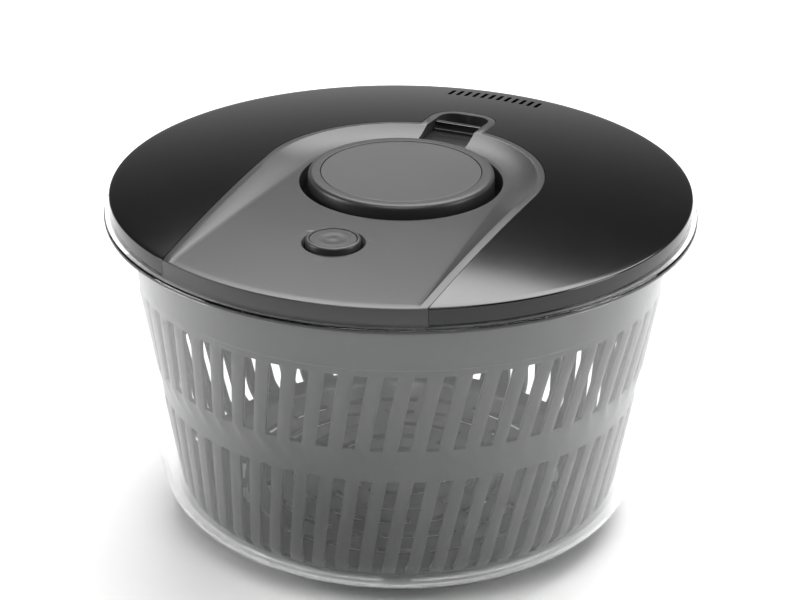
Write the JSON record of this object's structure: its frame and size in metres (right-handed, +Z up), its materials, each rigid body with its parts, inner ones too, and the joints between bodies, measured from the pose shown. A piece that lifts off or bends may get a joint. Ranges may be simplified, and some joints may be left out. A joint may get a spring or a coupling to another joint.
{
  "type": "salad spinner",
  "caption": "Hand-pumped salad spinner: clear bowl with a slotted spinning basket and a crowned lid with pump knob, stop button, lock slider and drain slots.",
  "frame": {"origin": "on the table, under the middle of the bowl's foot ring", "axes": "+Z up along the axis the basket turns about; the stop button lies towards -Y and the drain slots towards +Y"},
  "size_m": [0.267, 0.267, 0.1674],
  "materials": {
    "clear_bowl": "clear, glossy moulded plastic",
    "foot_rubber": "matt elastomer",
    "basket_grey": "satin moulded plastic",
    "lid_gloss": "polished moulded plastic",
    "panel_satin": "fine-grained satin plastic",
    "knob_matt": "fine-grained matt plastic",
    "inlay_soft": "soft satin plastic",
    "button_soft": "matt soft-touch",
    "inner_plastic": "satin moulded plastic",
    "slider_black": "polished moulded plastic",
    "seal_silicone": "soft silicone",
    "acetal": "waxy low-friction plastic",
    "spring_steel": "drawn wire",
    "steel": "plated",
    "brake_rubber": "matt rubber"
  },
  "bodies": {
    "bowl": {"bowl": "clear_bowl", "foot_ring": "foot_rubber"},
    "basket": {"basket": "basket_grey"},
    "lid": {"lid_shell": "lid_gloss", "lid_panel": "panel_satin", "inner_cover": "inner_plastic", "rim_gasket": "seal_silicone", "drive_housing": "inner_plastic", "guide_bush": "acetal", "spindle_bush": "acetal", "cover_screws": "steel", "housing_screws": "steel"},
    "knob": {"knob_cap": "knob_matt", "knob_inlay": "inlay_soft", "plunger": "inner_plastic", "drive_nut": "acetal", "return_spring": "spring_steel"},
    "spindle": {"spindle": "steel", "pawl_carrier": "acetal", "pawl_1": "acetal", "pawl_2": "acetal", "pawl_pins": "steel", "plate_washer": "steel", "plate_screw": "steel"},
    "plate": {"drive_plate": "inner_plastic", "ratchet_ring": "acetal"},
    "button": {"stop_button": "knob_matt", "button_inlay": "button_soft", "brake_stem": "acetal", "brake_pad": "brake_rubber", "button_spring": "spring_steel"},
    "slider": {"lock_slider": "slider_black"}
  },
  "joints": [
    {"name": "lid_lift", "type": "slide", "parent": "bowl", "child": "lid", "axis": [0, 0, 1], "range_m": [0, 0.12]},
    {"name": "plate_spin", "type": "hinge", "parent": "lid", "child": "plate", "pos_m": [0, 0, 0.114], "axis": [0, 0, 1], "continuous": true},
    {"name": "basket_spin", "type": "hinge", "parent": "bowl", "child": "basket", "pos_m": [0, 0, 0.016], "axis": [0, 0, 1], "continuous": true},
    {"name": "knob_travel", "type": "slide", "parent": "lid", "child": "knob", "axis": [0, 0, 1], "range_m": [0, 0.024], "deforming": ["return_spring"]},
    {"name": "spindle_spin", "type": "hinge", "parent": "lid", "child": "spindle", "pos_m": [0, 0, 0.12], "axis": [0, 0, 1], "range_deg": [-360, 0]},
    {"name": "stop_button_press", "type": "slide", "parent": "lid", "child": "button", "axis": [0, 0, -1], "range_m": [0, 0.0025], "stiffness_N_per_m": 700, "springref_m": -0.001, "deforming": ["button_spring"]},
    {"name": "lock_slide", "type": "slide", "parent": "lid", "child": "slider", "axis": [0, 1, 0], "range_m": [0, 0.0065]}
  ],
  "couplings": [
    {"joint": "basket_spin", "follows": "plate_spin", "ratio": 1},
    {"joint": "spindle_spin", "follows": "knob_travel", "rad_per_m": -261.8}
  ]
}
